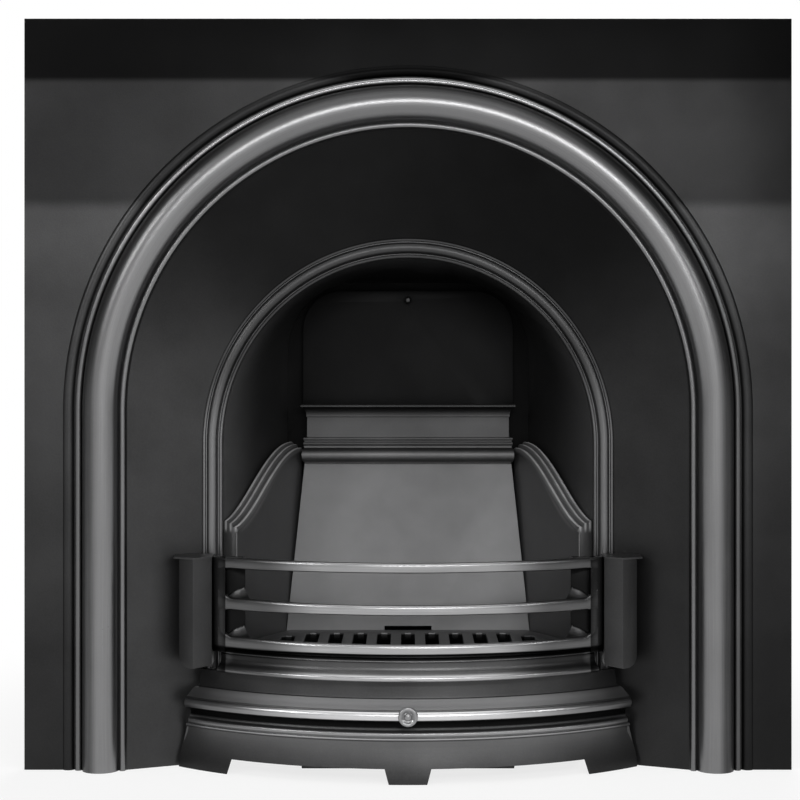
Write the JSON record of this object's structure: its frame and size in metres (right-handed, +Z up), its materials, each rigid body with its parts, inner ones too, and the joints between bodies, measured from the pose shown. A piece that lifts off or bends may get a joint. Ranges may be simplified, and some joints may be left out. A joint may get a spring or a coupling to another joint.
{
  "type": "cast iron fireplace insert",
  "caption": "Arched cast iron fireplace insert with rolled arch, splayed reveal, hood with damper, fireback, moulded cheeks, bowed basket, grate, fret and ash pan.",
  "frame": {"origin": "on the floor, under the middle of the whole object's box", "axes": "+X to the viewer's right along the plate, +Y back into the chimney, +Z up; the viewer stands at -Y"},
  "size_m": [0.965, 0.3554, 0.9445],
  "materials": {
    "black_iron": "black-leaded, satin, with polished arrises",
    "rubbed_iron": "black-leaded, rubbed bright on the edges",
    "sooted_iron": "matt black",
    "fireback_iron": "grey, dry, lightly mottled",
    "polished_iron": "polished",
    "steel": "dull, blackened",
    "sheet_steel": "matt black"
  },
  "bodies": {
    "surround": {"front_casting": "black_iron", "hood": "sooted_iron", "back_plate": "sooted_iron", "hood_bolt_1": "steel", "hood_bolt_2": "steel", "hood_bolt_3": "steel", "hood_bolt_4": "steel", "hood_bolt_5": "steel", "hood_bolt_6": "steel", "hood_bolt_7": "steel", "cheek_left": "sooted_iron", "cheek_right": "sooted_iron", "fireback": "fireback_iron", "fireback_cap": "sooted_iron", "ash_pit_left": "sooted_iron", "ash_pit_right": "sooted_iron", "ash_pit_back": "sooted_iron", "post_left": "black_iron", "post_right": "black_iron", "hanger_left": "black_iron", "hanger_right": "black_iron", "damper_bracket_left": "steel", "damper_bracket_right": "steel", "wall_lug_left_low": "steel", "wall_lug_left_high": "steel", "wall_lug_right_low": "steel", "wall_lug_right_high": "steel", "lug_bolt_left_low": "steel", "lug_bolt_left_high": "steel", "lug_bolt_right_low": "steel", "lug_bolt_right_high": "steel", "post_bolt_left_low": "steel", "post_bolt_left_high": "steel", "post_bolt_right_low": "steel", "post_bolt_right_high": "steel", "back_bolt_1": "steel", "back_bolt_2": "steel", "back_bolt_3": "steel", "back_bolt_4": "steel", "back_bolt_5": "steel", "back_bolt_6": "steel"},
    "basket": {"front_basket": "rubbed_iron"},
    "grate": {"bottom_grate": "black_iron"},
    "fret": {"fret": "rubbed_iron", "fret_knob": "polished_iron", "fret_knob_nut": "steel"},
    "ash_pan": {"ash_pan": "sheet_steel", "ash_pan_handle": "steel"},
    "damper": {"damper_flap": "sooted_iron", "damper_knob": "polished_iron"}
  },
  "joints": [
    {"name": "damper_hinge", "type": "hinge", "parent": "surround", "child": "damper", "pos_m": [0, 0.1487, 0.447], "axis": [1, 0, 0], "range_deg": [0, 35]},
    {"name": "fret_slide", "type": "slide", "parent": "surround", "child": "fret", "axis": [0, -1, 0], "range_m": [0, 0.3]},
    {"name": "ash_pan_slide", "type": "slide", "parent": "surround", "child": "ash_pan", "axis": [0, -1, 0], "range_m": [0, 0.3]},
    {"name": "basket_lift", "type": "slide", "parent": "surround", "child": "basket", "axis": [0, 0, 1], "range_m": [0, 0.06]},
    {"name": "grate_lift", "type": "slide", "parent": "surround", "child": "grate", "axis": [0, 0, 1], "range_m": [0, 0.08]}
  ],
  "couplings": [
    {"joint": "ash_pan_slide", "follows": "fret_slide", "ratio": 1}
  ]
}
